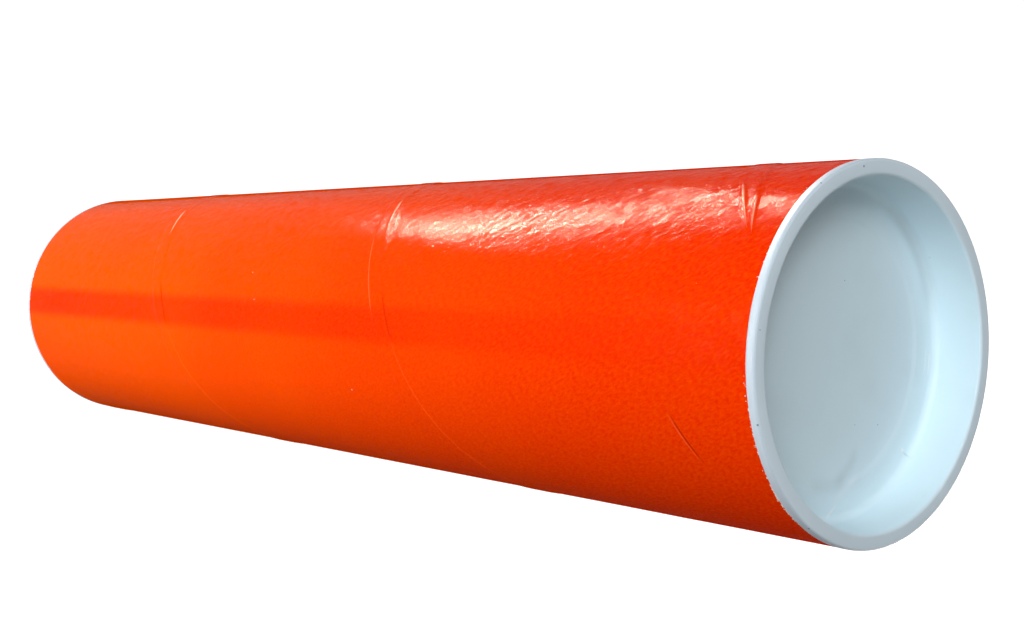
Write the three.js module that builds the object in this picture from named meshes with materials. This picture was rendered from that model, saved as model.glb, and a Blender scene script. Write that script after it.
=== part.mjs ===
// Mailing tube: a spirally wound board tube, closed at each end by a push-in recessed plug.
// Millimetres. The tube stands on its end along +Z, with the origin at the centre of its foot.

import * as THREE from 'three';
import { mergeVertices } from 'three/addons/utils/BufferGeometryUtils.js';

// Wound tube
const boreDiameter = 100;
const wallThickness = 2.5;
const tubeLength = 450;

// Glossy outer ply: it winds upwards and laps over its own last turn
const seamPitch = 158;
const seamStart = 64.5;
const lapWidth = 6.4;
const lapRise = 0.2;
const lapRampWidth = 1.4;
const lapEdgeWidth = 0.4;

// Inner ply: its edges meet in a fine open groove along the bore
const innerSeamStart = 140;
const innerSeamWidth = 1.4;
const innerSeamDepth = 0.3;

// End plug: flange over the tube's cut end, skirt inside the bore, floor across the skirt
const flangeThickness = 2.5;
const shoulderRadius = 0.8;
const lipRadius = 1;
const skirtWall = 1.9;
const skirtTaper = 0.8;
const recessDepth = 15;
const floorThickness = 1.4;
const floorCornerRadius = 2.5;
const skirtEdgeRadius = 0.8;

// Shallow dish in the middle of the plug's floor
const dishRadius = 36;
const dishDepth = 0.4;
const dishRampWidth = 2.5;

// Grip beads around the skirt
const beadCount = 2;
const firstBeadDepth = 4;
const beadSpacing = 4.5;
const beadWidth = 1.6;

// Running gap between the bore and the widest part of the skirt
const plugFitGap = 0.25;

// Facets around the axis, and in each quarter-round of a plug's section
const facetsAround = 80;
const facetsPerCorner = 3;

const boreRadius = boreDiameter / 2;
const tubeRadius = boreRadius + wallThickness;
const skirtRadius = boreRadius - plugFitGap;

const orangeCoatedBoard = new THREE.MeshStandardMaterial({
  color: 0xf4500f,
  roughness: 0.38,
  metalness: 0,
});

const whitePolythene = new THREE.MeshStandardMaterial({
  color: 0xe4edf2,
  roughness: 0.35,
  metalness: 0,
});

// Straight-line value between knots [position, value], and zero beyond them
function profileAt(knots, position) {
  for (let i = 1; i < knots.length; i += 1) {
    const [fromPosition, fromValue] = knots[i - 1];
    const [toPosition, toValue] = knots[i];
    if (position >= fromPosition && position <= toPosition) {
      const share = (position - fromPosition) / (toPosition - fromPosition);
      return fromValue + share * (toValue - fromValue);
    }
  }
  return 0;
}

// Heights and depths of one helical seam along the wall at a share of a turn.
// Each knot is a distance from the seam's edge and how far the wall departs there.
function seamColumn(knots, start, turn) {
  const turnsBelow = Math.ceil(start / seamPitch) + 2;
  const turnsAbove = Math.ceil((tubeLength - start) / seamPitch) + 2;
  const edges = [];
  for (let k = -turnsBelow; k <= turnsAbove; k += 1) {
    edges.push(start + seamPitch * (turn + k));
  }
  const departure = (height) => edges.reduce(
    (total, edge) => total + profileAt(knots, height - edge),
    0,
  );
  const heights = [0];
  for (const edge of edges) {
    for (const [distance] of knots) {
      heights.push(THREE.MathUtils.clamp(edge + distance, 0, tubeLength));
    }
  }
  heights.push(tubeLength);
  return heights.map((height) => [departure(height), height]);
}

// Outer surface rises gently on to the lap and drops off its exposed edge
const lapKnots = [
  [-lapWidth - lapRampWidth, 0],
  [-lapWidth, lapRise],
  [0, lapRise],
  [lapEdgeWidth, 0],
];

// Bore opens into a fine V along the inner ply's butted edges
const innerSeamKnots = [
  [-innerSeamWidth / 2, 0],
  [0, innerSeamDepth],
  [innerSeamWidth / 2, 0],
];

// Closed section of the wall at one share of a turn: up the outside, down the bore
function wallSection(turn) {
  const outside = seamColumn(lapKnots, seamStart, turn)
    .map(([rise, height]) => [tubeRadius + rise, height]);
  const inside = seamColumn(innerSeamKnots, innerSeamStart, turn)
    .map(([depth, height]) => [boreRadius + depth, height]);
  return [...outside, ...inside.reverse()];
}

// Wound wall: sections lofted once around the axis, closing on the first
function woundTube() {
  const positions = [];
  const triangles = [];
  const perSection = wallSection(0).length;
  for (let column = 0; column <= facetsAround; column += 1) {
    const angle = (2 * Math.PI * (column % facetsAround)) / facetsAround;
    for (const [radius, height] of wallSection(column / facetsAround)) {
      positions.push(radius * Math.cos(angle), radius * Math.sin(angle), height);
    }
  }
  for (let column = 0; column < facetsAround; column += 1) {
    for (let point = 0; point < perSection; point += 1) {
      const next = (point + 1) % perSection;
      const lower = column * perSection + point;
      const upper = column * perSection + next;
      triangles.push(lower, lower + perSection, upper + perSection);
      triangles.push(lower, upper + perSection, upper);
    }
  }
  const loft = new THREE.BufferGeometry();
  loft.setAttribute('position', new THREE.Float32BufferAttribute(positions, 3));
  loft.setIndex(triangles);
  return withoutFlatTriangles(mergeVertices(loft));
}

// Clamping at the cut ends leaves triangles of no area, which are dropped
function withoutFlatTriangles(geometry) {
  const source = geometry.getIndex().array;
  const kept = [];
  for (let i = 0; i < source.length; i += 3) {
    const [a, b, c] = [source[i], source[i + 1], source[i + 2]];
    if (a !== b && b !== c && c !== a) {
      kept.push(a, b, c);
    }
  }
  geometry.setIndex(kept);
  geometry.computeVertexNormals();
  return geometry;
}

// Quarter-round in a section, from one angle to another about its centre
function corner(centreRadius, centreHeight, radius, fromDegrees, toDegrees) {
  const points = [];
  for (let i = 0; i <= facetsPerCorner; i += 1) {
    const degrees = fromDegrees + ((toDegrees - fromDegrees) * i) / facetsPerCorner;
    const angle = THREE.MathUtils.degToRad(degrees);
    points.push(new THREE.Vector2(
      centreRadius + radius * Math.cos(angle),
      centreHeight + radius * Math.sin(angle),
    ));
  }
  return points;
}

// Plug section, with height 0 at the flange's seat on the tube and + out of the tube
function plugSection() {
  const faceHeight = flangeThickness;
  const floorHeight = faceHeight - recessDepth;
  const undersideHeight = floorHeight - floorThickness;
  const skirtLength = -undersideHeight;
  const outsideAt = (depth) => skirtRadius - (skirtTaper * depth) / skirtLength;
  const insideAt = (depth) => outsideAt(depth) - skirtWall;
  const skirtEnd = outsideAt(skirtLength);
  const floorRim = insideAt(-floorHeight);

  const underside = [
    new THREE.Vector2(0, undersideHeight),
    ...corner(skirtEnd - skirtEdgeRadius, undersideHeight + skirtEdgeRadius, skirtEdgeRadius, -90, 0),
  ];
  const beads = [];
  for (let i = beadCount - 1; i >= 0; i -= 1) {
    const depth = firstBeadDepth + i * beadSpacing;
    beads.push(
      new THREE.Vector2(outsideAt(depth + beadWidth / 2), -depth - beadWidth / 2),
      new THREE.Vector2(skirtRadius, -depth),
      new THREE.Vector2(outsideAt(depth - beadWidth / 2), -depth + beadWidth / 2),
    );
  }
  const flange = [
    new THREE.Vector2(skirtRadius, 0),
    new THREE.Vector2(tubeRadius, 0),
    ...corner(tubeRadius - shoulderRadius, faceHeight - shoulderRadius, shoulderRadius, 0, 90),
    ...corner(insideAt(0) + lipRadius, faceHeight - lipRadius, lipRadius, 90, 180),
  ];
  const recess = [
    ...corner(floorRim - floorCornerRadius, floorHeight + floorCornerRadius, floorCornerRadius, 0, -90),
    new THREE.Vector2(dishRadius + dishRampWidth, floorHeight),
    new THREE.Vector2(dishRadius, floorHeight - dishDepth),
    new THREE.Vector2(0, floorHeight - dishDepth),
  ];
  return [...underside, ...beads, ...flange, ...recess];
}

function plug(name) {
  const geometry = new THREE.LatheGeometry(plugSection(), facetsAround);
  geometry.rotateX(Math.PI / 2);
  const mesh = new THREE.Mesh(geometry, whitePolythene);
  mesh.name = name;
  return mesh;
}

const tube = new THREE.Mesh(woundTube(), orangeCoatedBoard);
tube.name = 'tube';
tube.position.z = flangeThickness;

const topPlug = plug('top_plug');
topPlug.position.z = flangeThickness + tubeLength;

const bottomPlug = plug('bottom_plug');
bottomPlug.position.z = flangeThickness;
bottomPlug.rotation.x = Math.PI;

const mailingTube = new THREE.Group();
mailingTube.add(tube, topPlug, bottomPlug);

export default mailingTube;
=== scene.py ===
import math

import bpy
from bpy.props import FloatProperty, FloatVectorProperty, IntProperty, PointerProperty
from bpy.types import Operator, Panel, PropertyGroup
from mathutils import Matrix, Vector


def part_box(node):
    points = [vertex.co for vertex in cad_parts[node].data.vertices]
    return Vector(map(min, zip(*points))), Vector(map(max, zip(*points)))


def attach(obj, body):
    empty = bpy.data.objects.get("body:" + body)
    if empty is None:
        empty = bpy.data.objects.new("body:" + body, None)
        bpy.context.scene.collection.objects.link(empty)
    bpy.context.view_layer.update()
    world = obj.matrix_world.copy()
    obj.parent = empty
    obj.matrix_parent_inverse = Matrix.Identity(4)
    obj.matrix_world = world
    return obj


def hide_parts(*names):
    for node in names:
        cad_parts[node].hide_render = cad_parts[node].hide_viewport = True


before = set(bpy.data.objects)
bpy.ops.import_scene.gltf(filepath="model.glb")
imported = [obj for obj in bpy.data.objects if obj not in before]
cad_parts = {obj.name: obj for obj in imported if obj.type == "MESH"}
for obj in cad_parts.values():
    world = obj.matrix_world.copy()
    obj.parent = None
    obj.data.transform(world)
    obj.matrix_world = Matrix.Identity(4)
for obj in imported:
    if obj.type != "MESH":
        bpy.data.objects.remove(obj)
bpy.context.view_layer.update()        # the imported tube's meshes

bl_info = {
    "name": "Mailing Tube",
    "version": (1, 0, 0),
    "blender": (4, 5, 0),
    "location": "View3D > Sidebar > Mailing Tube",
    "description": "Dresses a spirally wound mailing tube with push-in end plugs, and sets its stage",
    "category": "Add Mesh",
}

MM = 0.001

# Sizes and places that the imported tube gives
TUBE_LOW, TUBE_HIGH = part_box("tube")
PLUG_LOW, PLUG_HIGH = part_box("top_plug")
TUBE_RADIUS = PLUG_HIGH[0]
TUBE_FOOT = TUBE_LOW[2]
TUBE_TOP = TUBE_HIGH[2]
TUBE_LENGTH = TUBE_TOP - TUBE_FOOT
FLANGE_THICKNESS = PLUG_HIGH[2] - TUBE_TOP
PLUG_DEPTH = TUBE_TOP - PLUG_LOW[2]
LAP_RISE = TUBE_HIGH[0] - TUBE_RADIUS


def length(name, description, default):
    """A size property in metres, from a default in millimetres."""
    return FloatProperty(
        name=name,
        description=description,
        default=default * MM,
        min=0.0,
        precision=5,
        subtype="DISTANCE",
        unit="LENGTH",
    )


def colour(name, description, default):
    """A colour property in linear light."""
    return FloatVectorProperty(
        name=name,
        description=description,
        default=default,
        size=3,
        min=0.0,
        max=1.0,
        subtype="COLOR",
    )


def amount(name, description, default):
    """A plain number property, from 0 upwards."""
    return FloatProperty(name=name, description=description, default=default, min=0.0)


def watts(name, description, default):
    """A lamp's power property."""
    return FloatProperty(
        name=name,
        description=description,
        default=default,
        min=0.0,
        subtype="POWER",
        unit="POWER",
    )


class WoundTubeSettings(PropertyGroup):
    """Sizes and colours of the wound tube."""

    wall: length("Wall", "Thickness of the wound board", 2.5)
    seam_pitch: length("Seam Pitch", "Rise of the outer ply's seam in one turn", 158.0)
    seam_height: length("Seam Height", "Height of the lap's edge above the foot on the +X side", 64.5)
    lap_width: length("Lap Width", "Width of the lap, along the tube", 6.4)
    lap_ramp: length("Lap Ramp", "Width of the soft rise on to the lap", 1.4)
    lap_edge: length("Lap Edge", "Width of the drop off the lap's cut edge", 0.45)
    bore_seam_height: length("Bore Seam Height", "Height of the inner ply's joint on the +X side", 140.0)
    bore_seam_width: length("Bore Seam Width", "Width of the open joint in the bore", 1.4)
    bore_seam_depth: length("Bore Seam Depth", "Depth of the open joint in the bore", 0.3)
    waviness: length("Waviness", "How far the wrap sinks between its glue lines", 0.09)
    row_spacing: length("Row Spacing", "Distance between rows of the outer surface", 0.72)
    columns: IntProperty(name="Columns", description="Facets around the tube", default=140, min=32)
    wrap_colour: colour("Wrap Colour", "Printed orange of the outer ply", (0.98, 0.053, 0.0))
    paper_colour: colour("Paper Colour", "White body of the wrap, at torn edges", (0.86, 0.82, 0.76))
    board_colour: colour("Board Colour", "Plain board of the inner plies", (0.42, 0.33, 0.235))


class FibreSettings(PropertyGroup):
    """Torn paper fibres along the tube's cut ends."""

    count: IntProperty(name="Count", description="Fibre nibs tried along both cut ends", default=500, min=0)
    reach: length("Reach", "How far the nibs stray from the cut edge", 0.8)
    size: length("Size", "Length of a nib", 0.4)
    seed: IntProperty(name="Seed", description="Fixed seed of their places", default=7)


class EndPlugSettings(PropertyGroup):
    """Sizes and colour of the two end plugs."""

    fit_gap: length("Fit Gap", "Gap between the bore and the widest part of the skirt", 0.25)
    skirt_wall: length("Skirt Wall", "Thickness of the skirt", 1.9)
    skirt_taper: length("Skirt Taper", "How much the skirt's radius falls to its end", 0.8)
    shoulder: length("Shoulder", "Rounding of the flange's outer edge", 0.8)
    lip: length("Lip", "Rounding of the mouth's edge", 1.0)
    recess_depth: length("Recess Depth", "Depth of the floor below the flange's face", 15.0)
    floor_corner: length("Floor Corner", "Rounding between the floor and the skirt", 2.5)
    skirt_edge: length("Skirt Edge", "Rounding of the skirt's inner end", 0.8)
    dish_radius: length("Dish Radius", "Radius of the floor's shallow dish", 36.0)
    dish_depth: length("Dish Depth", "Depth of the dish", 0.4)
    dish_ramp: length("Dish Ramp", "Width of the slope into the dish", 2.5)
    bead_first: length("First Bead", "Depth of the first grip bead below the flange", 4.0)
    bead_spacing: length("Bead Spacing", "Distance between grip beads", 4.5)
    bead_width: length("Bead Width", "Width of a grip bead", 1.6)
    bead_count: IntProperty(name="Beads", description="Grip beads around the skirt", default=2, min=0)
    steps: IntProperty(name="Steps", description="Facets around a plug", default=224, min=32)
    plastic_colour: colour("Plastic Colour", "Cool white of the moulded plastic", (0.80, 0.89, 0.95))


class StageSettings(PropertyGroup):
    """Floor, lights and camera."""

    floor_size: FloatProperty(
        name="Floor Size",
        description="Side of the floor",
        default=8.0,
        subtype="DISTANCE",
        unit="LENGTH",
    )
    floor_colour: colour("Floor Colour", "Pale floor", (0.45, 0.453, 0.457))
    floor_glow: amount("Floor Glow", "White that the camera sees on the floor", 0.92)
    sky_colour: colour("Sky Colour", "Colour of the soft light all round", (1.0, 0.96, 0.90))
    sky_strength: amount("Sky Strength", "Strength of the light all round", 0.13)
    key_power: watts("Key Power", "Power of the key softbox", 16.0)
    top_power: watts("Top Power", "Power of the top softbox", 7.2)
    fill_power: watts("Fill Power", "Power of the low fill at the far end", 2.2)
    back_power: watts("Back Power", "Power of the softbox behind the tube", 8.0)
    panel_power: watts("Panel Power", "Power of the low panel beside the tube", 9.5)
    panel_end_power: watts("Panel End Power", "Power of the panel that carries the low one on", 5.225)
    lens: amount("Lens", "Focal length in millimetres on a 36 mm sensor", 50.46)


def feed(tree, node, inputs):
    """Links a node's own inputs, or gives them a value."""
    for key, value in inputs.items():
        if isinstance(value, bpy.types.NodeSocket):
            tree.links.new(value, node.inputs[key])
        else:
            node.inputs[key].default_value = value


def add(tree, kind, inputs=None, **settings):
    """One node, with its settings made and its inputs fed."""
    node = tree.nodes.new(kind)
    for name, value in settings.items():
        setattr(node, name, value)
    feed(tree, node, inputs or {})
    return node


def changed(tree, kind, geometry, inputs=None, **settings):
    """The geometry that one Geometry node makes of another."""
    return add(tree, "GeometryNode" + kind, {0: geometry, **(inputs or {})}, **settings).outputs[0]


def calc(tree, operation, *values):
    """The result of one Math node."""
    return add(tree, "ShaderNodeMath", dict(enumerate(values)), operation=operation).outputs[0]


def plus(tree, first, second):
    """The sum of two values."""
    return calc(tree, "ADD", first, second)


def minus(tree, first, second):
    """The first value less the second."""
    return calc(tree, "SUBTRACT", first, second)


def times(tree, first, second):
    """The product of two values."""
    return calc(tree, "MULTIPLY", first, second)


def scaled(tree, value, factor, start):
    """A value times a factor, with a start added."""
    return calc(tree, "MULTIPLY_ADD", value, factor, start)


def remap(tree, value, low, high, to_low=0.0, to_high=1.0, kind="LINEAR"):
    """A value moved from one range to another, and held at its ends."""
    inputs = {0: value, 1: low, 2: high, 3: to_low, 4: to_high}
    return add(tree, "ShaderNodeMapRange", inputs, interpolation_type=kind).outputs[0]


def window(tree, value, start, end, soft):
    """1 between two values and 0 outside them, with soft edges."""
    opens = remap(tree, value, start - soft, start + soft, 0.0, 1.0, "SMOOTHSTEP")
    closes = remap(tree, value, end - soft, end + soft, 1.0, 0.0, "SMOOTHSTEP")
    return times(tree, opens, closes)


def sector(tree, turn, start, end, soft):
    """1 between two angles in degrees round the tube, where the place and softness are shares of a turn."""
    return window(tree, turn, start / 360, end / 360, soft)


def bell(tree, across):
    """1 where a value is 0, falling softly to 0 on both sides."""
    return calc(tree, "EXPONENT", times(tree, times(tree, across, across), -1.0))


def from_axis(tree, place):
    """Distance of a place from the tube's axis."""
    squares = [times(tree, part, part) for part in (place[0], place[1])]
    return calc(tree, "SQRT", plus(tree, *squares))


def round_axis(tree, place):
    """Share of a turn from +X to a place."""
    return calc(tree, "FRACT", calc(tree, "DIVIDE", calc(tree, "ARCTAN2", place[1], place[0]), math.tau))


def noise(tree, place, scale, detail=2.0, roughness=0.5):
    """Smooth noise from 0 to 1, about its middle."""
    inputs = {"Vector": place, "Scale": scale, "Detail": detail, "Roughness": roughness}
    return add(tree, "ShaderNodeTexNoise", inputs).outputs[0]


def mix_colours(tree, factor, first, second):
    """Two colours mixed by a factor."""
    inputs = {0: factor, 6: first, 7: second}
    return add(tree, "ShaderNodeMix", inputs, data_type="RGBA").outputs[2]


def vector(tree, x, y, z=0.0):
    """A vector from three values."""
    return add(tree, "ShaderNodeCombineXYZ", {0: x, 1: y, 2: z}).outputs[0]


def full(rgb):
    """A colour with its alpha."""
    return (*rgb, 1.0)


def shaded(rgb, *shares):
    """A colour made darker or paler by one share, or by one for each part, with its alpha."""
    return full([min(1.0, part * share) for part, share in zip(rgb, shares * 3)])


def split(tree, place):
    """The x, y and z of a vector."""
    return add(tree, "ShaderNodeSeparateXYZ", {0: place}).outputs


# Folds in the wrap where it was pulled round, which start wide and run out to a point: ends as (degrees
# round from +X, height above the foot), width and rise, in mm, and how strongly the fold is painted paler,
# partly as rubbed ink and partly as a painted highlight, which is below zero where the fold is painted
# darker, as painted shade in the crease
FOLDS = [
    ((114.0, 111.9), (140.5, 125.4), 1.1, 0.2, 1.0),
    ((113.0, 270.8), (137.5, 281.9), 1.0, 0.26, 0.7),
    ((121.0, 276.6), (138.5, 287.2), 0.6, 0.16, 0.5),
    ((111.0, 423.4), (142.5, 444.4), 0.8, 0.34, 0.8),
    ((119.0, 434.2), (142.5, 444.2), 0.6, 0.24, 0.6),
    ((129.0, 391.9), (137.5, 395.1), 0.7, 0.10, 0.3),
    ((128.0, 408.0), (134.0, 408.9), 0.5, 0.07, 0.3),
    ((188.5, 420.8), (214.0, 433.0), 0.45, -0.2, -0.8),
    ((188.5, 420.0), (214.0, 432.2), 0.4, 0.06, 0.12),
]


def new_tree(name, lengths, counts, materials):
    """A Geometry Nodes tree with named inputs and a mesh output: (tree, its input sockets)."""
    tree = bpy.data.node_groups.new(name, "GeometryNodeTree")
    kinds = {"NodeSocketFloat": lengths, "NodeSocketInt": counts, "NodeSocketMaterial": materials}
    for kind, names in kinds.items():
        for socket_name in names:
            tree.interface.new_socket(socket_name, in_out="INPUT", socket_type=kind)
    tree.interface.new_socket("Mesh", in_out="OUTPUT", socket_type="NodeSocketGeometry")
    return tree, tree.nodes.new("NodeGroupInput").outputs


def put(name, data):
    """A new object in the scene that holds the data."""
    thing = bpy.data.objects.new(name, data)
    bpy.context.scene.collection.objects.link(thing)
    return thing


def grown(name, tree, values):
    """Runs a tree with those input values and gives its result as a plain mesh object."""
    scratch = put(name + "_scratch", bpy.data.meshes.new(name + "_scratch"))
    modifier = scratch.modifiers.new("nodes", "NODES")
    modifier.node_group = tree
    sockets = {item.name: item.identifier for item in tree.interface.items_tree if item.in_out == "INPUT"}
    for socket_name, value in values.items():
        modifier[sockets[socket_name]] = value
    depsgraph = bpy.context.evaluated_depsgraph_get()
    mesh = bpy.data.meshes.new_from_object(scratch.evaluated_get(depsgraph), depsgraph=depsgraph)
    scratch.modifiers.remove(modifier)
    bpy.data.objects.remove(scratch)
    mesh.name = name
    if not mesh.polygons:
        raise RuntimeError(name + " came out empty")
    return put(name, mesh)


def fold_field(tree, turn, height, fold):
    """How far one fold lifts the wrap, from the share of a turn and the height above the foot."""
    start, end, width, rise, _ = fold
    turn_from = start[0] / 360
    turn_to = end[0] / 360
    height_from = start[1] * MM
    height_to = end[1] * MM
    share = calc(tree, "DIVIDE", minus(tree, turn, turn_from), turn_to - turn_from)
    middle = scaled(tree, share, height_to - height_from, height_from)
    spread = remap(tree, share, 0.0, 1.0, width * MM, 0.3 * width * MM)
    across = calc(tree, "DIVIDE", minus(tree, height, middle), spread)
    ridge = bell(tree, across)
    opens = remap(tree, share, -0.1, 0.35, 0.0, 1.0, "SMOOTHSTEP")
    closes = remap(tree, share, 0.45, 1.05, 1.0, 0.0, "SMOOTHSTEP")
    lift = times(tree, ridge, rise * MM)
    return times(tree, lift, times(tree, opens, closes))


def wound_height(tree, row, rows_per_turn, crowding, first_turn, turn, pitch, seam_height):
    """Height of a row that follows the seam, with rows crowded near it, held within the tube's ends."""
    turns = calc(tree, "DIVIDE", row, rows_per_turn)
    whole = calc(tree, "FLOOR", turns)
    share = minus(tree, turns, whole)
    swing = calc(tree, "SINE", times(tree, share, math.tau))
    share = minus(tree, share, times(tree, swing, crowding / math.tau))
    climbed = plus(tree, plus(tree, whole, share), plus(tree, turn, float(first_turn)))
    height = scaled(tree, climbed, pitch, seam_height)
    return calc(tree, "MINIMUM", calc(tree, "MAXIMUM", height, 0.0), TUBE_LENGTH)


def seam_distance(tree, height, turn, pitch, seam_height):
    """Signed height above the nearest turn of a seam."""
    rise = scaled(tree, turn, pitch, seam_height)
    half = times(tree, pitch, 0.5)
    return calc(tree, "WRAP", minus(tree, height, rise), half, times(tree, half, -1.0))


def turns_for(seam_height, pitch):
    """First turn and number of turns of a seam that cover the tube at every angle."""
    first = -(1 + math.ceil(seam_height / pitch))
    return first, math.ceil((TUBE_LENGTH - seam_height) / pitch - first)


# Inputs of the wall's tree that take the setting of the same name
WALL_INPUTS = (
    "Wall", "Seam Pitch", "Seam Height", "Lap Width", "Lap Ramp", "Lap Edge",
    "Bore Seam Height", "Bore Seam Width", "Bore Seam Depth", "Waviness",
)

# Rows of the wall: how strongly they crowd towards the seams, and how many a turn of the bore has
WRAP_CROWDING = 0.35
BORE_CROWDING = 0.9
BORE_ROWS_PER_TURN = 24

# The lap's foot runs out softly near the top, and its cut edge is glued down softly, between these
# angles in degrees; heights and widths are in metres
PRESSED_ANGLES = (95, 200)
PRESSED_HEIGHTS = (0.385, 0.405)
PRESSED_WIDTH = 0.005
GLUED_ANGLES = (90, 157)
GLUED_WIDTH = 0.0025
MERGE_DISTANCE = 0.000002
WALL_SHARP_ANGLE = math.radians(40)


def wound_tube_tree(settings):
    """Tree that lofts the wall's section once round the axis, with both seams in it."""
    lengths = ("Radius", "Foot", "Lap Rise", *WALL_INPUTS)
    tree, size = new_tree("Wound Tube", lengths, ("Columns",), ("Wrap", "Board"))

    pitch = size["Seam Pitch"]
    outer_per_turn = round(settings.seam_pitch / settings.row_spacing)
    outer_first, outer_turns = turns_for(settings.seam_height, settings.seam_pitch)
    inner_first, inner_turns = turns_for(settings.bore_seam_height, settings.seam_pitch)
    outer_rows = outer_turns * outer_per_turn + 1
    inner_rows = inner_turns * BORE_ROWS_PER_TURN + 1
    all_rows = outer_rows + inner_rows + 1

    grid = add(tree, "GeometryNodeMeshGrid", {
        "Vertices X": plus(tree, size["Columns"], 1.0),
        "Vertices Y": all_rows,
    })
    index = add(tree, "GeometryNodeInputIndex").outputs[0]
    column = calc(tree, "FLOOR", calc(tree, "DIVIDE", plus(tree, index, 0.5), float(all_rows)))
    row = minus(tree, index, times(tree, column, float(all_rows)))
    turn = calc(tree, "DIVIDE", column, size["Columns"])

    # Rows run up the outside, then down the bore, and the last closes on the first
    is_outer = calc(tree, "LESS_THAN", row, outer_rows - 0.5)
    is_last = calc(tree, "GREATER_THAN", row, all_rows - 1.5)
    outside = calc(tree, "MAXIMUM", is_outer, is_last)
    outer_row = times(tree, row, is_outer)
    inner_row = minus(tree, float(outer_rows + inner_rows - 1), row)
    outer_height = wound_height(
        tree, outer_row, outer_per_turn, WRAP_CROWDING, outer_first, turn, pitch, size["Seam Height"])
    inner_height = wound_height(
        tree, inner_row, BORE_ROWS_PER_TURN, BORE_CROWDING, inner_first, turn, pitch,
        size["Bore Seam Height"])

    # The wrap climbs softly on to its lap and drops off the lap's cut edge
    above = seam_distance(tree, outer_height, turn, pitch, size["Seam Height"])
    near_end = remap(tree, outer_height, *PRESSED_HEIGHTS, 0.0, PRESSED_WIDTH, "SMOOTHSTEP")
    pressed = times(tree, sector(tree, turn, *PRESSED_ANGLES, 0.02), near_end)
    ramp_top = times(tree, size["Lap Width"], -1.0)
    ramp_foot = minus(tree, minus(tree, ramp_top, size["Lap Ramp"]), pressed)
    climb = remap(tree, above, ramp_foot, ramp_top, 0.0, 1.0, "SMOOTHSTEP")
    glued = times(tree, sector(tree, turn, *GLUED_ANGLES, 0.02), GLUED_WIDTH)
    drop = remap(tree, above, 0.0, plus(tree, size["Lap Edge"], glued), 1.0, 0.0, "SMOOTHSTEP")
    lap = times(tree, times(tree, climb, drop), size["Lap Rise"])
    for fold in FOLDS:
        lap = plus(tree, lap, fold_field(tree, turn, outer_height, fold))

    # Broad sinking between glue lines, only inwards, so the wall keeps its outer size
    angle = times(tree, turn, math.tau)
    cosine = calc(tree, "COSINE", angle)
    sine = calc(tree, "SINE", angle)
    around = vector(tree, times(tree, cosine, size["Radius"]),
                    times(tree, sine, size["Radius"]), outer_height)
    sink = times(tree, noise(tree, around, 42.0, 2.0, 0.45), size["Waviness"])
    outer_radius = minus(tree, plus(tree, size["Radius"], lap), sink)

    gap = seam_distance(tree, inner_height, turn, pitch, size["Bore Seam Height"])
    half_gap = times(tree, size["Bore Seam Width"], 0.5)
    groove = remap(tree, calc(tree, "ABSOLUTE", gap), 0.0, half_gap, size["Bore Seam Depth"], 0.0)
    inner_radius = plus(tree, minus(tree, size["Radius"], size["Wall"]), groove)

    def choose(outer, inner):
        change = minus(tree, outer, inner)
        return scaled(tree, change, outside, inner)

    radius = choose(outer_radius, inner_radius)
    height = plus(tree, choose(outer_height, inner_height), size["Foot"])
    place = vector(tree, times(tree, radius, cosine), times(tree, radius, sine), height)

    wound = changed(tree, "SetPosition", grid.outputs["Mesh"], {"Position": place})
    closed = changed(tree, "MergeByDistance", wound, {"Distance": MERGE_DISTANCE})
    smooth = changed(tree, "SetShadeSmooth", closed, {"Shade Smooth": True}, domain="FACE")
    bend = add(tree, "GeometryNodeInputMeshEdgeAngle").outputs[0]
    sharp = changed(tree, "SetShadeSmooth", smooth, {
        "Selection": calc(tree, "GREATER_THAN", bend, WALL_SHARP_ANGLE),
        "Shade Smooth": False,
    }, domain="EDGE")
    real = changed(tree, "RealizeInstances", sharp)

    # Faces on the outside of the wall carry the wrap; the cut ends and the bore stay plain board
    spot = split(tree, add(tree, "GeometryNodeInputPosition").outputs[0])
    reach = from_axis(tree, spot)
    skin = minus(tree, size["Radius"], times(tree, size["Wall"], 0.25))
    board = changed(tree, "SetMaterial", real, {"Material": size["Board"]})
    wrap = changed(tree, "SetMaterial", board, {
        "Selection": calc(tree, "GREATER_THAN", reach, skin),
        "Material": size["Wrap"],
    })
    add(tree, "NodeGroupOutput", {"Mesh": wrap})
    return tree


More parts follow.
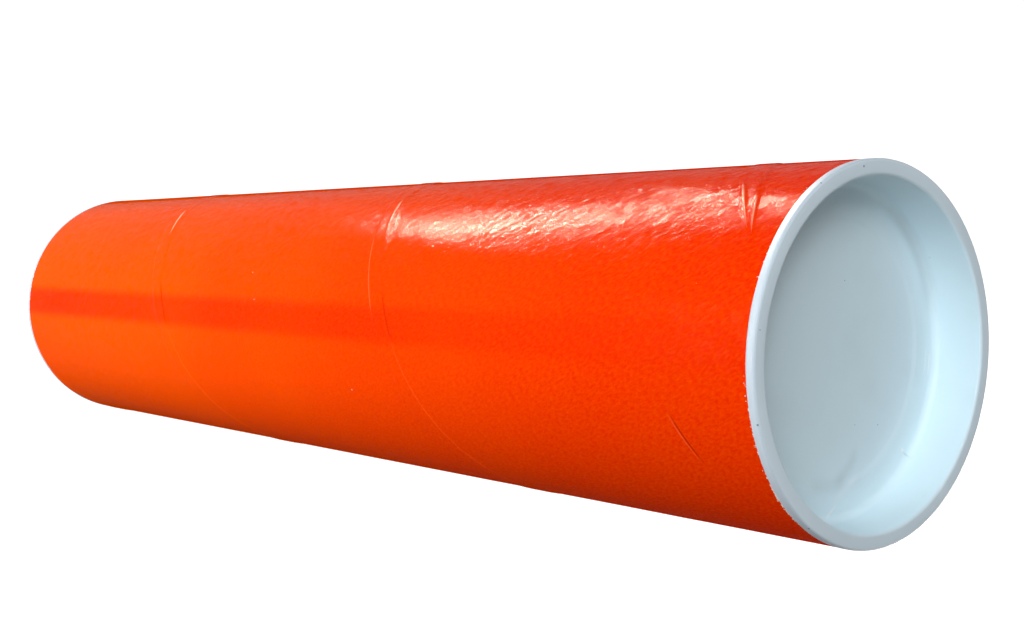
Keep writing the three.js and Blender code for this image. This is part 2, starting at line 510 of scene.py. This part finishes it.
def fibre_tree():
    """Tree that scatters torn paper nibs along the tube's two cut ends."""
    lengths = ("Radius", "Foot", "Top", "Reach", "Size")
    tree, size = new_tree("Cut Edge Fibres", lengths, ("Count", "Seed"), ("Paper",))

    def chance(offset, low=0.0, high=1.0):
        seed = plus(tree, size["Seed"], float(offset))
        inputs = {2: low, 3: high, "Seed": seed}
        return add(tree, "FunctionNodeRandomValue", inputs, data_type="FLOAT").outputs[1]

    angle = chance(1, 0.0, math.tau)
    cosine = calc(tree, "COSINE", angle)
    sine = calc(tree, "SINE", angle)
    stray = calc(tree, "POWER", chance(2), 2.5)
    stray = times(tree, stray, size["Reach"])
    at_top = calc(tree, "GREATER_THAN", chance(3), 0.35)
    top = minus(tree, size["Top"], stray)
    foot = plus(tree, size["Foot"], stray)
    height = scaled(tree, minus(tree, top, foot), at_top, foot)
    place = vector(tree, times(tree, cosine, size["Radius"]),
                   times(tree, sine, size["Radius"]), height)
    points = add(tree, "GeometryNodePoints", {"Count": size["Count"], "Position": place})

    # Nibs gather in patches, where the knife tore the wrap
    patch = noise(tree, vector(tree, cosine, sine, at_top), 9.0, 1.0)
    share = calc(tree, "DIVIDE", angle, math.tau)
    torn_side = remap(tree, sector(tree, share, 158, 222, 0.03), 0.0, 1.0, -0.1, 0.12)
    bare = calc(tree, "LESS_THAN", plus(tree, patch, torn_side), 0.53)
    torn = changed(tree, "DeleteGeometry", points.outputs[0], {"Selection": bare}, domain="POINT")

    spot = split(tree, add(tree, "GeometryNodeInputPosition").outputs[0])
    facing_out = calc(tree, "ARCTAN2", spot[1], spot[0])
    nib = add(tree, "GeometryNodeMeshIcoSphere", {
        "Radius": times(tree, size["Size"], 0.5),
        "Subdivisions": 1,
    })
    swing = plus(tree, facing_out, chance(5, -0.6, 0.6))
    placed = changed(tree, "InstanceOnPoints", torn, {
        "Instance": nib.outputs["Mesh"],
        "Rotation": vector(tree, chance(4, -0.5, 0.5), 0.0, swing),
        "Scale": vector(tree, chance(6, 0.14, 0.26), chance(7, 0.3, 0.9), chance(8, 0.4, 1.5)),
    })
    real = changed(tree, "RealizeInstances", placed)
    crumpled = add(tree, "ShaderNodeTexNoise", {"Scale": 2600.0, "Detail": 1.0}).outputs[1]
    centred = add(tree, "ShaderNodeVectorMath", {0: crumpled, 1: (0.5, 0.5, 0.5)}, operation="SUBTRACT")
    moved = add(tree, "ShaderNodeVectorMath", {0: centred.outputs[0], "Scale": 0.00018}, operation="SCALE")
    rough = changed(tree, "SetPosition", real, {"Offset": moved.outputs[0]})
    paper = changed(tree, "SetMaterial", rough, {"Material": size["Paper"]})
    add(tree, "NodeGroupOutput", {"Mesh": paper})
    return tree


# Colours of wear, in linear light
PALE_INK = (0.95, 0.22, 0.05, 1.0)
LAP_SHADOW = (0.55, 0.012, 0.0, 1.0)
RUBBED_INK_AND_GLINT = (0.98, 0.46, 0.26, 1.0)
PAINTED_CREASE_SHADE = (0.32, 0.01, 0.0, 1.0)
HANDLING_FILM = (0.52, 0.55, 0.56, 1.0)
SCUFF = (0.6, 0.64, 0.66, 1.0)
RIM_EDGE_GREY = (0.58, 0.64, 0.71, 1.0)
SPECK = (0.10, 0.10, 0.11, 1.0)
PAINTED_HIGHLIGHT = (1.0, 1.0, 1.0, 1.0)
PAINTED_SHADE_AND_MARK = (0.30, 0.36, 0.36, 1.0)


# Gloss strokes lie about 25 degrees off the strip: the sine and cosine of that
STROKE_SINE = 0.423
STROKE_COSINE = 0.906
PLY_THICKNESS = 0.0003


def new_material(name):
    """A material with its tree, shader and Object coordinates: (material, tree, shader, x y z sockets)."""
    material = bpy.data.materials.new(name)
    material.use_nodes = True
    tree = material.node_tree
    shader = tree.nodes["Principled BSDF"]
    place = add(tree, "ShaderNodeTexCoord").outputs["Object"]
    return material, tree, shader, place, split(tree, place)


def bump(tree, height, distance, normal=None):
    """A normal from a height field: its distance is the real height of a full step."""
    inputs = {"Height": height, "Distance": distance, "Strength": 1.0}
    if normal is not None:
        inputs["Normal"] = normal
    return add(tree, "ShaderNodeBump", inputs).outputs[0]


def strip_places(tree, axes, settings):
    """Places on the unwound strip: (along it, across it, height above the lap's edge, turn from +X)."""
    turn = round_axis(tree, axes)
    above_foot = minus(tree, axes[2], TUBE_FOOT + settings.seam_height)
    climbed = minus(tree, calc(tree, "DIVIDE", above_foot, settings.seam_pitch), turn)
    whole = calc(tree, "FLOOR", climbed)
    above = times(tree, minus(tree, climbed, whole), settings.seam_pitch)
    slant = math.atan(settings.seam_pitch / (math.tau * TUBE_RADIUS))
    wound = times(tree, plus(tree, turn, whole), math.tau * TUBE_RADIUS / math.cos(slant))
    along = scaled(tree, above, math.sin(slant), wound)
    across = times(tree, above, math.cos(slant))
    return along, across, above, turn


def wrap_material(settings):
    """Glossy orange printed paper, with its fibre grain, flecks and white body at the cut ends."""
    material, tree, shader, place, axes = new_material("orange_wrap")
    along, across, above, turn = strip_places(tree, axes, settings)
    grain_place = vector(tree, along, times(tree, across, 0.42))

    # Ink: painted light makes it paler and warmer towards the foot, a painted dark reflection deepens it in
    # one long band, and it has cloudiness and fine mottle
    foot_height = minus(tree, axes[2], TUBE_FOOT)
    painted_foot_light = remap(tree, foot_height, 0.04, 0.42, 0.9, 0.2)
    # Painted dark reflection: a long deeper band of ink along one side, strongest near the foot
    painted_reflection_band = sector(tree, turn, 165, 178, 0.008)
    painted_reflection_band = times(tree, painted_reflection_band, remap(tree, foot_height, 0.04, 0.40, -0.66, -0.08))
    cloud = noise(tree, place, 14.0, 2.0)
    mottle = noise(tree, grain_place, 1300.0, 3.0, 0.65)
    centred = minus(tree, mottle, 0.5)
    flecked = times(tree, centred, remap(tree, foot_height, 0.10, 0.40, 0.35, 1.6))
    tone = plus(tree, scaled(tree, cloud, 0.4, -0.2), flecked)
    tone = plus(tree, tone, plus(tree, painted_foot_light, painted_reflection_band))
    deep = shaded(settings.wrap_colour, 0.9, 0.4, 1.0)
    bright = shaded(settings.wrap_colour, 1.0, 1.75, 1.0)
    ink = mix_colours(tree, remap(tree, tone, 0.0, 1.0), deep, bright)

    # Lap: a pale line along its cut edge, its first part dark, and another at its foot
    open_edge = sector(tree, turn, 180, 330, 0.012)
    edge_line = times(tree, remap(tree, above, 0.0, settings.lap_edge, 0.2, 0.0), open_edge)
    ink = mix_colours(tree, edge_line, ink, PALE_INK)
    shadow = window(tree, above, 0.0001, 0.0008, 0.0001)
    shadow = times(tree, shadow, sector(tree, turn, 161, 176, 0.006))
    ink = mix_colours(tree, times(tree, shadow, 0.55), ink, LAP_SHADOW)
    foot_line = window(tree, above, settings.seam_pitch - 0.0075, settings.seam_pitch - 0.007, 0.0002)
    foot_line = times(tree, foot_line, sector(tree, turn, 138, 166, 0.012))
    foot_line = times(tree, foot_line, window(tree, foot_height, 0.2, 0.38, 0.01))
    ink = mix_colours(tree, times(tree, foot_line, 0.5), ink, PALE_INK)

    # Ink painted paler along the folds, partly rubbed ink and partly painted highlight, and darker along
    # the crease as painted shade
    rubbed_and_glint = 0.0
    crease_shade = 0.0
    for fold in FOLDS:
        ridge = calc(tree, "ABSOLUTE", fold_field(tree, turn, foot_height, fold))
        rise, paint_tone = fold[3:]
        ridge = calc(tree, "DIVIDE", ridge, abs(rise) * MM)
        ridge = times(tree, remap(tree, ridge, 0.4, 0.9), abs(paint_tone))
        if paint_tone > 0:
            rubbed_and_glint = calc(tree, "MAXIMUM", rubbed_and_glint, ridge)
        else:
            crease_shade = calc(tree, "MAXIMUM", crease_shade, ridge)
    ink = mix_colours(tree, rubbed_and_glint, ink, RUBBED_INK_AND_GLINT)
    ink = mix_colours(tree, crease_shade, ink, PAINTED_CREASE_SHADE)

    # Flecks of dust and chipped coating, mostly near the top
    cells = add(tree, "ShaderNodeTexVoronoi", {"Vector": vector(tree, along, across), "Scale": 170.0})
    chance = add(tree, "ShaderNodeSeparateColor", {0: cells.outputs["Color"]}).outputs[0]
    chosen = calc(tree, "GREATER_THAN", chance, 0.96)
    near_top = remap(tree, axes[2], TUBE_FOOT, TUBE_TOP, 0.02, 0.07)
    dot = calc(tree, "LESS_THAN", cells.outputs["Distance"], near_top)
    fleck = times(tree, times(tree, chosen, dot), 0.5)
    ink = mix_colours(tree, fleck, ink, full(settings.paper_colour))

    # White paper body, where the cut ends have torn
    to_top = minus(tree, TUBE_TOP, axes[2])
    from_end = calc(tree, "MINIMUM", to_top, foot_height)
    ragged = noise(tree, vector(tree, along, across), 900.0, 3.0, 0.7)
    patches = noise(tree, place, 30.0, 1.0)
    torn_side = remap(tree, sector(tree, turn, 160, 222, 0.03), 0.0, 1.0, -0.12, 0.06)
    patches = plus(tree, patches, torn_side)
    reach = times(tree, minus(tree, plus(tree, ragged, patches), 1.04), 0.003)
    torn = remap(tree, minus(tree, reach, from_end), -0.0001, 0.00005)
    surface = mix_colours(tree, torn, ink, full(settings.paper_colour))

    # Relief: fibres that lie across the strip, and the orange-peel of the coating over them
    fibres = noise(tree, grain_place, 1500.0, 3.0, 0.6)
    peel = noise(tree, grain_place, 420.0, 2.0, 0.5)
    normal = bump(tree, fibres, 0.00007)
    normal = bump(tree, peel, 0.00016, normal)
    roughness = remap(tree, noise(tree, grain_place, 300.0, 2.0), 0.3, 0.7, 0.11, 0.17)
    roughness = scaled(tree, torn, 0.4, roughness)

    # The matt side of the coating keeps its colour where it is seen edge on
    facing_away = add(tree, "ShaderNodeLayerWeight", {"Blend": 0.5}).outputs["Facing"]
    gloss = remap(tree, facing_away, 0.68, 0.91, 0.009, 0.0)

    # Gloss breaks into strokes across the strip, and is rubbed dull on the underside
    beside = scaled(tree, across, STROKE_SINE, times(tree, along, STROKE_COSINE))
    onward = scaled(tree, along, -STROKE_SINE, times(tree, across, STROKE_COSINE))
    strokes = noise(tree, vector(tree, beside, times(tree, onward, 0.28)), 700.0, 3.0, 0.6)
    gloss = times(tree, gloss, remap(tree, strokes, 0.4, 0.62, 0.12, 1.9))
    dulled = sector(tree, turn, 200, 320, 0.05)
    gloss = times(tree, gloss, remap(tree, dulled, 0.0, 1.0, 1.0, 0.1))
    feed(tree, shader, {
        "Base Color": surface,
        "Roughness": roughness,
        "Normal": normal,
        "Specular IOR Level": gloss,
        "Specular Tint": (1.0, 0.6, 0.25, 1.0),
    })
    return material


def board_material(settings):
    """Plain wound board: fibrous in the bore, ply edges and a white outer ply on the cut ends."""
    material, tree, shader, place, axes = new_material("wound_board")
    radius = from_axis(tree, axes)
    depth = minus(tree, TUBE_RADIUS, radius)
    fibre = noise(tree, place, 900.0, 4.0, 0.7)
    cloud = noise(tree, place, 40.0, 2.0)
    dark = shaded(settings.board_colour, 0.72)
    pale = shaded(settings.board_colour, 1.22)
    tone = plus(tree, times(tree, fibre, 0.65), times(tree, cloud, 0.35))
    plain = mix_colours(tree, remap(tree, tone, 0.35, 0.65), dark, pale)
    waver = times(tree, minus(tree, fibre, 0.5), 0.00018)
    ply = calc(tree, "PINGPONG", plus(tree, depth, waver), PLY_THICKNESS)
    joint = remap(tree, ply, 0.0, 0.00009, 0.45, 0.0)
    plies = mix_colours(tree, joint, plain, shaded(settings.board_colour, 0.4))
    outer_ply = remap(tree, plus(tree, depth, waver), PLY_THICKNESS, 0.00036, 1.0, 0.0)
    surface = mix_colours(tree, outer_ply, plies, full(settings.paper_colour))
    feed(tree, shader, {
        "Base Color": surface,
        "Roughness": remap(tree, fibre, 0.3, 0.7, 0.78, 0.95),
        "Normal": bump(tree, fibre, 0.00012),
        "Specular IOR Level": 0.3,
    })
    return material


def paper_material(settings):
    """Torn white paper fibre."""
    material, tree, shader, place, _ = new_material("torn_paper")
    fibre = noise(tree, place, 2400.0, 3.0, 0.6)
    grey = shaded(settings.paper_colour, 0.85)
    feed(tree, shader, {
        "Base Color": mix_colours(tree, fibre, grey, full(settings.paper_colour)),
        "Roughness": 0.9,
        "Normal": bump(tree, fibre, 0.00004),
    })
    return material


# Dark specks pressed into the top plug: (degrees round from +X, radius, depth below the face, size), in mm
SPECKS = [
    (95.7, 50.8, 0.0, 0.55),
    (115.8, 52.3, 0.4, 0.5),
    (191.7, 52.4, 0.5, 0.6),
    (230.5, 52.4, 0.5, 0.5),
    (165.6, 51.0, 0.0, 0.35),
    (26.8, 47.2, 14.8, 0.45),
    (28.5, 47.3, 12.0, 0.35),
    (308.0, 29.6, 15.4, 0.4),
    (289.3, 22.9, 15.4, 0.25),
    (74.0, 20.0, 15.4, 0.3),
]


# Painted shade and painted highlights in the top plug's recess, along its dish and floor corner, with a
# short dark mark at a notch: ends as (degrees round from +X, radius in mm), half-width in mm, and tone,
# which is above zero where paler and below zero where darker
RECESS_SHADE_AND_GLINTS = [
    ((288.0, 29.6), (263.0, 38.0), 2.2, -0.14),
    ((277.0, 36.4), (244.0, 37.8), 2.2, -0.14),
    ((284.0, 36.0), (262.0, 41.5), 1.0, 0.2),
    ((266.5, 42.3), (259.5, 46.3), 0.35, 0.7),
    ((310.9, 43.4), (312.6, 43.7), 0.6, 1.0),
    ((311.0, 45.4), (312.2, 45.6), 0.9, -0.3),
    ((343.0, 42.6), (356.0, 42.6), 0.25, 0.6),
    ((343.0, 44.6), (354.0, 44.6), 0.25, 0.7),
    ((4.0, 45.4), (64.0, 45.8), 1.7, -0.3),
]


def recess_arc_field(tree, turn, radius, start, end, half_width):
    """1 along one painted arc in the recess, falling softly to 0 beside it and at its ends."""
    low, high = sorted((start, end))
    share = remap(tree, turn, low[0] / 360, high[0] / 360)
    middle = scaled(tree, share, (high[1] - low[1]) * MM, low[1] * MM)
    across = calc(tree, "DIVIDE", minus(tree, radius, middle), half_width * MM)
    ridge = bell(tree, across)
    soft = 0.16 * (high[0] - low[0]) / 360
    inside = window(tree, turn, low[0] / 360 + soft, high[0] / 360 - soft, soft)
    return times(tree, ridge, inside)


def plastic_material(name, settings, speckled):
    """Satin cool-white moulded plastic, painted bluer inside its mouth as painted light, with painted shade
    and highlights in the recess, scuffs and pressed-in specks.
    """
    material, tree, shader, place, axes = new_material(name)
    radius = from_axis(tree, axes)
    cloud = noise(tree, place, 26.0, 3.0)
    grain = noise(tree, place, 700.0, 3.0, 0.6)
    base = settings.plastic_colour
    mouth = mouth_radius(settings)
    shade = shaded(base, 0.93, 0.945, 0.955)
    surface = mix_colours(tree, remap(tree, cloud, 0.3, 0.7), shade, full(base))

    # Inside the mouth the skirt and floor are painted bluer: painted light, for the bluish light that fills
    # the recess
    recess_blue_light = remap(tree, radius, mouth, mouth + 0.0012, 0.75, 0.0)
    painted_blue_light = shaded(base, 0.97, 1.05, 1.05)
    surface = mix_colours(tree, recess_blue_light, surface, painted_blue_light)

    # Handling grime: grey film in patches, and thin scuffs that run every way
    film = remap(tree, noise(tree, place, 45.0, 2.0, 0.5), 0.5, 0.8, 0.0, 0.12)
    surface = mix_colours(tree, film, surface, HANDLING_FILM)
    inputs = {"Vector": place, "Scale": 35.0, "Distortion": 2.5, "Detail": 1.0}
    warped = add(tree, "ShaderNodeTexNoise", inputs).outputs[0]
    off_line = calc(tree, "ABSOLUTE", minus(tree, warped, 0.5))
    scuff = remap(tree, off_line, 0.0, 0.0035, 0.35, 0.0)
    worn = remap(tree, noise(tree, place, 18.0, 1.0), 0.6, 0.75)
    scuff = times(tree, scuff, worn)
    surface = mix_colours(tree, times(tree, scuff, 0.12), surface, SCUFF)

    # Rim greyer round its outer edge
    grey_edge = remap(tree, radius, TUBE_RADIUS - 0.0007, TUBE_RADIUS - 0.0002, 0.0, 0.8)
    surface = mix_colours(tree, grey_edge, surface, RIM_EDGE_GREY)

    if speckled:
        turn = round_axis(tree, axes)
        in_recess = remap(tree, axes[2], TUBE_TOP - 0.0095, TUBE_TOP - 0.011)
        # Painted shade and painted highlights along the recess's dish and corner
        for *place_and_width, tone in RECESS_SHADE_AND_GLINTS:
            painted_arc = times(tree, recess_arc_field(tree, turn, radius, *place_and_width), in_recess)
            painted_arc = times(tree, painted_arc, abs(tone))
            surface = mix_colours(tree, painted_arc, surface, PAINTED_HIGHLIGHT if tone > 0 else PAINTED_SHADE_AND_MARK)

        face_height = TUBE_TOP + FLANGE_THICKNESS
        for degrees, speck_radius, below, size in SPECKS:
            angle = math.radians(degrees)
            reach = speck_radius * MM
            centre = (reach * math.cos(angle), reach * math.sin(angle), face_height - below * MM)
            away = add(tree, "ShaderNodeVectorMath", {0: place, 1: centre}, operation="DISTANCE")
            uneven = scaled(tree, grain, size * MM, away.outputs["Value"])
            spot = remap(tree, uneven, size * MM * 0.8, size * MM * 1.15, 0.8, 0.0)
            surface = mix_colours(tree, spot, surface, SPECK)

    # Turned finish of the mould: very fine rings, with a faint grain over them
    rings = noise(tree, vector(tree, radius, 0.0, axes[2]), 900.0, 2.0)
    normal = bump(tree, rings, 0.000035)
    normal = bump(tree, grain, 0.00003, normal)
    normal = bump(tree, cloud, 0.0004, normal)
    roughness = remap(tree, grain, 0.3, 0.7, 0.36, 0.46)
    roughness = scaled(tree, scuff, 0.3, roughness)
    feed(tree, shader, {
        "Base Color": surface,
        "Roughness": roughness,
        "Normal": normal,
        "Specular IOR Level": 0.35,
        "Subsurface Weight": 0.12,
        "Subsurface Radius": (0.9, 0.95, 1.0),
        "Subsurface Scale": 0.002,
    })
    return material


ARC_STEPS = 8
PLUG_SHARP_ANGLE = math.radians(50)


def arc(radius, height, size, start, end):
    """Points of a round corner in a section, between two angles in degrees."""
    points = []
    for step in range(ARC_STEPS + 1):
        angle = math.radians(start + (end - start) * step / ARC_STEPS)
        points.append((radius + size * math.cos(angle), height + size * math.sin(angle)))
    return points


def skirt_radius(settings):
    """Radius of the skirt's outside where it is widest."""
    return TUBE_RADIUS - bpy.context.scene.wound_tube.wall - settings.fit_gap


def mouth_radius(settings):
    """Radius of the mouth's edge."""
    return skirt_radius(settings) - settings.skirt_wall


def plug_section(settings):
    """Closed section of a plug: (radius, height), with height 0 where the flange sits on the tube."""
    face = FLANGE_THICKNESS
    floor = face - settings.recess_depth
    underside = -PLUG_DEPTH
    widest = skirt_radius(settings)

    def outside(depth):
        return widest - settings.skirt_taper * depth / PLUG_DEPTH

    def inside(depth):
        return outside(depth) - settings.skirt_wall

    edge = settings.skirt_edge
    points = [(0.0, underside), (0.3 * widest, underside), (0.65 * widest, underside)]
    points += arc(outside(PLUG_DEPTH) - edge, underside + edge, edge, -90, 0)
    for bead in reversed(range(settings.bead_count)):
        depth = settings.bead_first + bead * settings.bead_spacing
        half = settings.bead_width / 2
        for share in (1.0, 0.6, 0.25, -0.25, -0.6, -1.0):
            swell = 0.5 + 0.5 * math.cos(math.pi * share)
            bare = outside(depth + share * half)
            points.append((bare + (widest - bare) * swell, -depth - share * half))
    points += [(widest, -0.0002), (widest, 0.0), (TUBE_RADIUS, 0.0)]
    points += arc(TUBE_RADIUS - settings.shoulder, face - settings.shoulder, settings.shoulder, 0, 90)
    points += arc(inside(0) + settings.lip, face - settings.lip, settings.lip, 90, 180)
    corner = settings.floor_corner
    rim = inside(-floor)
    points += arc(rim - corner, floor + corner, corner, 0, -90)
    ramp = settings.dish_ramp
    for share in (1.0, 0.75, 0.5, 0.25, 0.0):
        sunk = settings.dish_depth * (0.5 + 0.5 * math.cos(math.pi * share))
        points.append((settings.dish_radius + ramp * share, floor - sunk))
    points += [(radius * MM, floor - settings.dish_depth) for radius in (30.0, 22.0, 14.0, 7.0, 0.0)]
    return points


# Small dent in the top plug's lip: degrees round from +X, spread in degrees, depth in mm
LIP_DENT = (301.7, 1.3, 0.35)


def make_plug(name, settings, seat, outward, dented, material):
    """One plug, revolved from its section about the tube's axis, facing up or down."""
    section = plug_section(settings)
    steps = settings.steps
    mouth = mouth_radius(settings)
    points = []
    faces = []
    rings = []
    for radius, height in section:
        if radius == 0.0:
            rings.append([len(points)])
            points.append((0.0, 0.0, seat + outward * height))
            continue
        ring = []
        for step in range(steps):
            angle = math.tau * step / steps
            pressed = lip_dent(radius, height, math.degrees(angle), mouth) if dented else 0.0
            ring.append(len(points))
            reach = radius + pressed
            level = seat + outward * (height - pressed)
            points.append((reach * math.cos(angle), reach * math.sin(angle), level))
        rings.append(ring)
    for lower, upper in zip(rings, rings[1:]):
        for step in range(steps):
            after = (step + 1) % steps
            if len(lower) == 1:
                face = (lower[0], upper[after], upper[step])
            elif len(upper) == 1:
                face = (lower[step], lower[after], upper[0])
            else:
                face = (lower[step], lower[after], upper[after], upper[step])
            faces.append(face if outward > 0 else face[::-1])
    mesh = bpy.data.meshes.new(name)
    mesh.from_pydata(points, [], faces)
    mesh.shade_smooth()
    mesh.set_sharp_from_angle(angle=PLUG_SHARP_ANGLE)
    mesh.materials.append(material)
    mesh.validate()
    return put(name, mesh)


def lip_dent(radius, height, degrees, mouth):
    """How far the dent presses a point of the lip outwards and down."""
    centre, spread, depth = LIP_DENT
    along = (degrees - centre) / spread
    away = math.hypot(radius - mouth, height - FLANGE_THICKNESS) / MM
    return depth * MM * math.exp(-along * along) * math.exp(-away * away)


class TUBE_OT_wound_tube(Operator):
    """Make the orange wound tube with its lapped seam, folds and plain bore"""

    bl_idname = "mailing_tube.wound_tube"
    bl_label = "Wound Tube"

    def execute(self, context):
        settings = context.scene.wound_tube
        values = {name: getattr(settings, name.lower().replace(" ", "_")) for name in WALL_INPUTS}
        values.update({
            "Radius": TUBE_RADIUS,
            "Foot": TUBE_FOOT,
            "Lap Rise": LAP_RISE,
            "Columns": settings.columns,
            "Wrap": wrap_material(settings),
            "Board": board_material(settings),
        })
        tube = grown("orange_tube", wound_tube_tree(settings), values)
        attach(tube, "tube_body")
        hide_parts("tube")
        return {"FINISHED"}


class TUBE_OT_cut_edge_fibres(Operator):
    """Scatter torn paper fibres along the tube's cut ends"""

    bl_idname = "mailing_tube.cut_edge_fibres"
    bl_label = "Cut Edge Fibres"

    def execute(self, context):
        settings = context.scene.cut_edge_fibres
        fibres = grown("cut_edge_fibres", fibre_tree(), {
            "Radius": TUBE_RADIUS,
            "Foot": TUBE_FOOT,
            "Top": TUBE_TOP,
            "Reach": settings.reach,
            "Size": settings.size,
            "Count": settings.count,
            "Seed": settings.seed,
            "Paper": paper_material(context.scene.wound_tube),
        })
        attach(fibres, "tube_body")
        return {"FINISHED"}


class TUBE_OT_end_plugs(Operator):
    """Make the two white push-in plugs"""

    bl_idname = "mailing_tube.end_plugs"
    bl_label = "End Plugs"

    def execute(self, context):
        settings = context.scene.end_plugs
        top = make_plug("top_end_plug", settings, TUBE_TOP, 1.0, True,
                        plastic_material("plug_plastic_top", settings, True))
        bottom = make_plug("bottom_end_plug", settings, TUBE_FOOT, -1.0, False,
                           plastic_material("plug_plastic_bottom", settings, False))
        plugs = ((top, "top_plug", "top_plug_body"), (bottom, "bottom_plug", "bottom_plug_body"))
        for plug, node, body in plugs:
            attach(plug, body)
            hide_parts(node)
        return {"FINISHED"}


# Camera: its place, the point it looks at, and the way that is up in the picture
CAMERA_PLACE = Vector((-0.31933, 0.05502, 0.68304))
CAMERA_AIM = Vector((0.15986, -0.02326, 0.11142))
CAMERA_UP = Vector((0.11507, 0.99257, -0.03945))

# Lamps: place, point that each faces, the way that is up across it, size, and colour.
# The two low panels lie beside the tube, are seen only in reflections, and give the long highlight.
KEY_TINT = (0.82, 0.93, 1.0)
TOP_TINT = (0.93, 0.97, 1.0)
DAY_TINT = (1.0, 0.97, 0.93)
PANEL_TINT = (1.0, 0.88, 0.70)
LAMPS = {
    "key": ((-1.37, 0.61, 1.15), (0.0, 0.0, 0.35), (0.0, 0.0, 1.0), (1.0, 1.0), KEY_TINT),
    "top": ((-0.72, 0.92, 1.5), (0.0, 0.0, 0.45), (0.0, 1.0, 0.0), (0.7, 0.7), TOP_TINT),
    "fill": ((-0.53, 0.14, 0.06), (0.0, 0.0, 0.06), (0.0, 0.0, 1.0), (0.4, 0.1), DAY_TINT),
    "back": ((1.04, -0.60, 0.25), (0.0, 0.0, 0.25), (0.0, 0.0, 1.0), (0.8, 0.4), DAY_TINT),
    "panel": ((0.010, 0.37, 0.004), (0.010, 0.37, 1.0), (0.53, 0.848, 0.0), (0.04, 0.27), PANEL_TINT),
    "panel_end": ((0.14, 0.54, 0.004), (0.14, 0.54, 1.0), (0.96, 0.28, 0.0), (0.2, 0.04), PANEL_TINT),
}


def facing(place, aim, up):
    """Matrix of something at a place that looks along its own -Z at a point."""
    back = (place - aim).normalized()
    right = up.cross(back).normalized()
    turned = Matrix((right, back.cross(right), back)).transposed()
    return Matrix.Translation(place) @ turned.to_4x4()


def softbox(name, power):
    """Rectangular lamp that the camera doesn't see."""
    place, aim, up, size, tint = LAMPS[name]
    lamp = bpy.data.lights.new(name + "_softbox", "AREA")
    lamp.shape = "RECTANGLE"
    lamp.size, lamp.size_y = size
    lamp.energy = power
    lamp.color = tint
    holder = put(lamp.name, lamp)
    holder.matrix_world = facing(Vector(place), Vector(aim), Vector(up))
    holder.visible_camera = False
    holder.visible_diffuse = not name.startswith("panel")


def seen_directly(tree, mirrored=1.0):
    """1 for the rays that show the background: camera, glossy and transmission rays."""
    path = add(tree, "ShaderNodeLightPath").outputs
    glossy = times(tree, path["Is Glossy Ray"], mirrored)
    seen = calc(tree, "MAXIMUM", path["Is Camera Ray"], glossy)
    return calc(tree, "MAXIMUM", seen, path["Is Transmission Ray"])


def floor_material(settings):
    """Pale matt floor with faint unevenness, lifted towards white where it is seen directly."""
    material, tree, shader, place, axes = new_material("pale_floor")
    cloud = noise(tree, place, 1.5, 2.0)
    base = settings.floor_colour
    pale = mix_colours(tree, cloud, shaded(base, 0.985), full(base))
    # Mirror rays see less glow on the -Y side: painted shade on the floor, seen in the tube's reflections
    lit_side = remap(tree, axes[1], -0.12, 0.10, 0.0, 0.6, "SMOOTHSTEP")
    feed(tree, shader, {
        "Base Color": pale,
        "Roughness": 0.9,
        "Specular IOR Level": 0.0,
        "Emission Color": (1.0, 1.0, 1.0, 1.0),
        "Emission Strength": times(tree, seen_directly(tree, lit_side), settings.floor_glow),
    })
    return material


class TUBE_OT_stage(Operator):
    """Set the floor, the soft lights, the background and the camera"""

    bl_idname = "mailing_tube.stage"
    bl_label = "Stage"

    def execute(self, context):
        settings = context.scene.tube_stage
        half = settings.floor_size / 2
        mesh = bpy.data.meshes.new("floor")
        corners = [(-half, -half, 0.0), (half, -half, 0.0), (half, half, 0.0), (-half, half, 0.0)]
        mesh.from_pydata(corners, [], [(0, 1, 2, 3)])
        mesh.materials.append(floor_material(settings))
        floor = put("floor", mesh)

        for name in LAMPS:
            softbox(name, getattr(settings, name + "_power"))

        world = bpy.data.worlds.new("studio")
        context.scene.world = world
        world.use_nodes = True
        tree = world.node_tree
        seen = seen_directly(tree)
        background = tree.nodes["Background"]
        sky = mix_colours(tree, seen, full(settings.sky_colour), (1.0, 1.0, 1.0, 1.0))
        tree.links.new(sky, background.inputs["Color"])
        lift = times(tree, seen, 1.0 - settings.sky_strength)
        tree.links.new(plus(tree, lift, settings.sky_strength), background.inputs["Strength"])

        camera = bpy.data.cameras.new("camera")
        camera.sensor_width = 36.0
        camera.lens = settings.lens
        camera.clip_start = 0.01
        holder = put("camera", camera)
        holder.matrix_world = facing(CAMERA_PLACE, CAMERA_AIM, CAMERA_UP)
        context.scene.camera = holder
        context.scene.view_settings.view_transform = "Standard"
        return {"FINISHED"}


class TUBE_PT_sidebar(Panel):
    """Lists the tube's operators"""

    bl_idname = "TUBE_PT_sidebar"
    bl_label = "Mailing Tube"
    bl_space_type = "VIEW_3D"
    bl_region_type = "UI"
    bl_category = "Mailing Tube"

    def draw(self, context):
        for operator in (TUBE_OT_wound_tube, TUBE_OT_cut_edge_fibres, TUBE_OT_end_plugs, TUBE_OT_stage):
            self.layout.operator(operator.bl_idname)


SETTINGS = {
    "wound_tube": WoundTubeSettings,
    "cut_edge_fibres": FibreSettings,
    "end_plugs": EndPlugSettings,
    "tube_stage": StageSettings,
}
CLASSES = (
    *SETTINGS.values(),
    TUBE_OT_wound_tube,
    TUBE_OT_cut_edge_fibres,
    TUBE_OT_end_plugs,
    TUBE_OT_stage,
    TUBE_PT_sidebar,
)


def register():
    """Registers the classes and puts their settings on the scene."""
    for cls in CLASSES:
        bpy.utils.register_class(cls)
    for name, group in SETTINGS.items():
        setattr(bpy.types.Scene, name, PointerProperty(type=group))


def unregister():
    """Takes the settings and the classes away again."""
    for name in SETTINGS:
        delattr(bpy.types.Scene, name)
    for cls in reversed(CLASSES):
        bpy.utils.unregister_class(cls)


def main():
    """Makes the tube piece by piece, then its stage."""
    register()
    bpy.ops.mailing_tube.wound_tube()
    bpy.ops.mailing_tube.cut_edge_fibres()
    bpy.ops.mailing_tube.end_plugs()
    bpy.ops.mailing_tube.stage()


if __name__ == "__main__":
    main()
